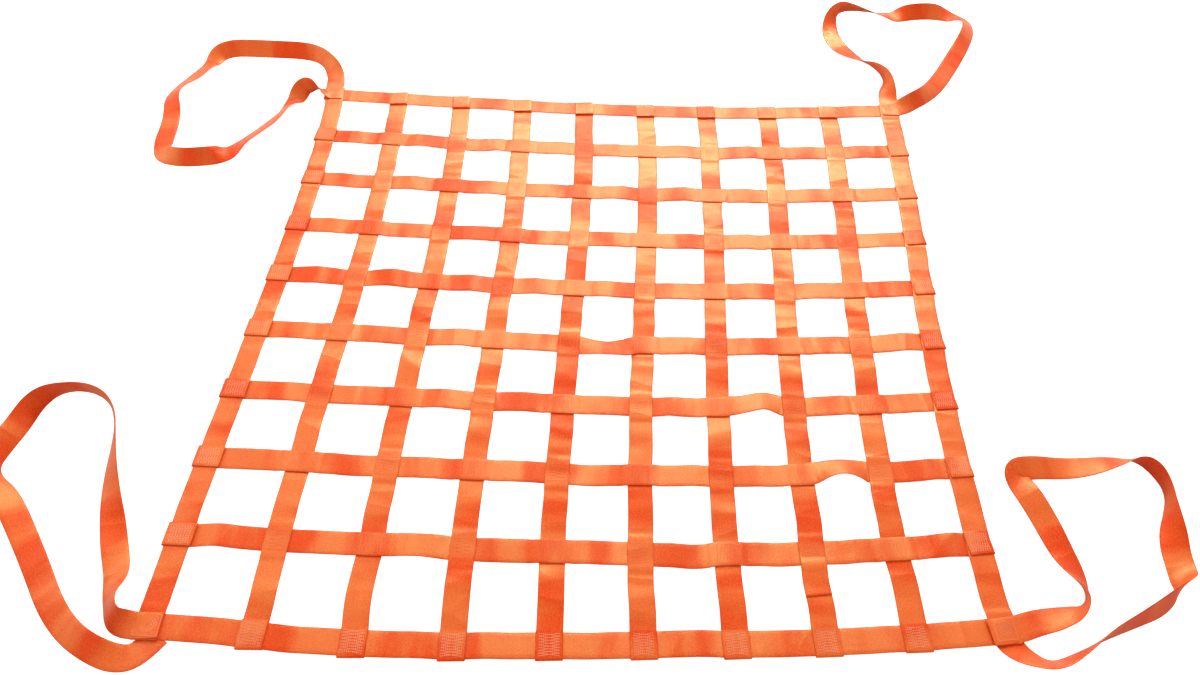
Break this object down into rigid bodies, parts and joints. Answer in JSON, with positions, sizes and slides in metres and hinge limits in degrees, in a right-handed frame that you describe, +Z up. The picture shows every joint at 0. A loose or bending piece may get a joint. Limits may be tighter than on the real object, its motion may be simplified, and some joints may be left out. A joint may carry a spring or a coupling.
{
  "type": "cargo climbing net",
  "caption": "Square net of flat woven webbing straps, sewn at every crossing, with border straps and a free webbing loop at each corner.",
  "frame": {"origin": "centre of the net, on its underside, on the surface that it lies on", "axes": "+X to the right, +Y to the rear, +Z up, out of the net's top face"},
  "size_m": [2.4118, 2.1267, 0.05],
  "materials": {
    "webbing": "woven polyester webbing with a slight sheen",
    "thread": "polyester sewing thread"
  },
  "bodies": {
    "rear_half": {"rear_border": "webbing", "cross_strap_1": "webbing", "cross_strap_2": "webbing", "cross_strap_3": "webbing", "cross_strap_4": "webbing", "long_strap_1_rear": "webbing", "long_strap_2_rear": "webbing", "long_strap_3_rear": "webbing", "long_strap_4_rear": "webbing", "long_strap_5_rear": "webbing", "long_strap_6_rear": "webbing", "long_strap_7_rear": "webbing", "long_strap_8_rear": "webbing", "left_border_rear": "webbing", "right_border_rear": "webbing", "rear_left_loop_ends": "webbing", "rear_right_loop_ends": "webbing", "rear_crossing_stitches": "thread", "rear_border_stitches": "thread", "rear_corner_stitches": "thread"},
    "fold_panel": {"long_strap_1_middle": "webbing", "long_strap_2_middle": "webbing", "long_strap_3_middle": "webbing", "long_strap_4_middle": "webbing", "long_strap_5_middle": "webbing", "long_strap_6_middle": "webbing", "long_strap_7_middle": "webbing", "long_strap_8_middle": "webbing", "left_border_middle": "webbing", "right_border_middle": "webbing"},
    "front_half": {"front_border": "webbing", "cross_strap_5": "webbing", "cross_strap_6": "webbing", "cross_strap_7": "webbing", "cross_strap_8": "webbing", "long_strap_1_front": "webbing", "long_strap_2_front": "webbing", "long_strap_3_front": "webbing", "long_strap_4_front": "webbing", "long_strap_5_front": "webbing", "long_strap_6_front": "webbing", "long_strap_7_front": "webbing", "long_strap_8_front": "webbing", "left_border_front": "webbing", "right_border_front": "webbing", "long_strap_7_lap": "webbing", "front_left_loop_ends": "webbing", "front_right_loop_ends": "webbing", "front_crossing_stitches": "thread", "front_border_stitches": "thread", "front_corner_stitches": "thread"},
    "front_left_loop": {"front_left_loop": "webbing"},
    "front_right_loop": {"front_right_loop": "webbing"},
    "rear_left_loop": {"rear_left_loop": "webbing"},
    "rear_right_loop": {"rear_right_loop": "webbing"}
  },
  "joints": [
    {"name": "rear_crease", "type": "hinge", "parent": "rear_half", "child": "fold_panel", "pos_m": [0, 0.06, 0.006], "axis": [-1, 0, 0], "range_deg": [0, 90]},
    {"name": "front_crease", "type": "hinge", "parent": "fold_panel", "child": "front_half", "pos_m": [0, -0.06, 0.006], "axis": [-1, 0, 0], "range_deg": [0, 90]},
    {"name": "front_left_loop_turn", "type": "hinge", "parent": "front_half", "child": "front_left_loop", "pos_m": [-0.797, -0.79, 0.031], "axis": [0, 1, 0], "range_deg": [0, 180]},
    {"name": "front_right_loop_turn", "type": "hinge", "parent": "front_half", "child": "front_right_loop", "pos_m": [0.797, -0.79, 0.031], "axis": [0, -1, 0], "range_deg": [0, 180]},
    {"name": "rear_left_loop_turn", "type": "hinge", "parent": "rear_half", "child": "rear_left_loop", "pos_m": [-0.797, 0.79, 0.031], "axis": [0, 1, 0], "range_deg": [0, 180]},
    {"name": "rear_right_loop_turn", "type": "hinge", "parent": "rear_half", "child": "rear_right_loop", "pos_m": [0.79, 0.797, 0.031], "axis": [1, 0, 0], "range_deg": [0, 180]}
  ],
  "couplings": [
    {"joint": "front_crease", "follows": "rear_crease", "ratio": 1}
  ]
}
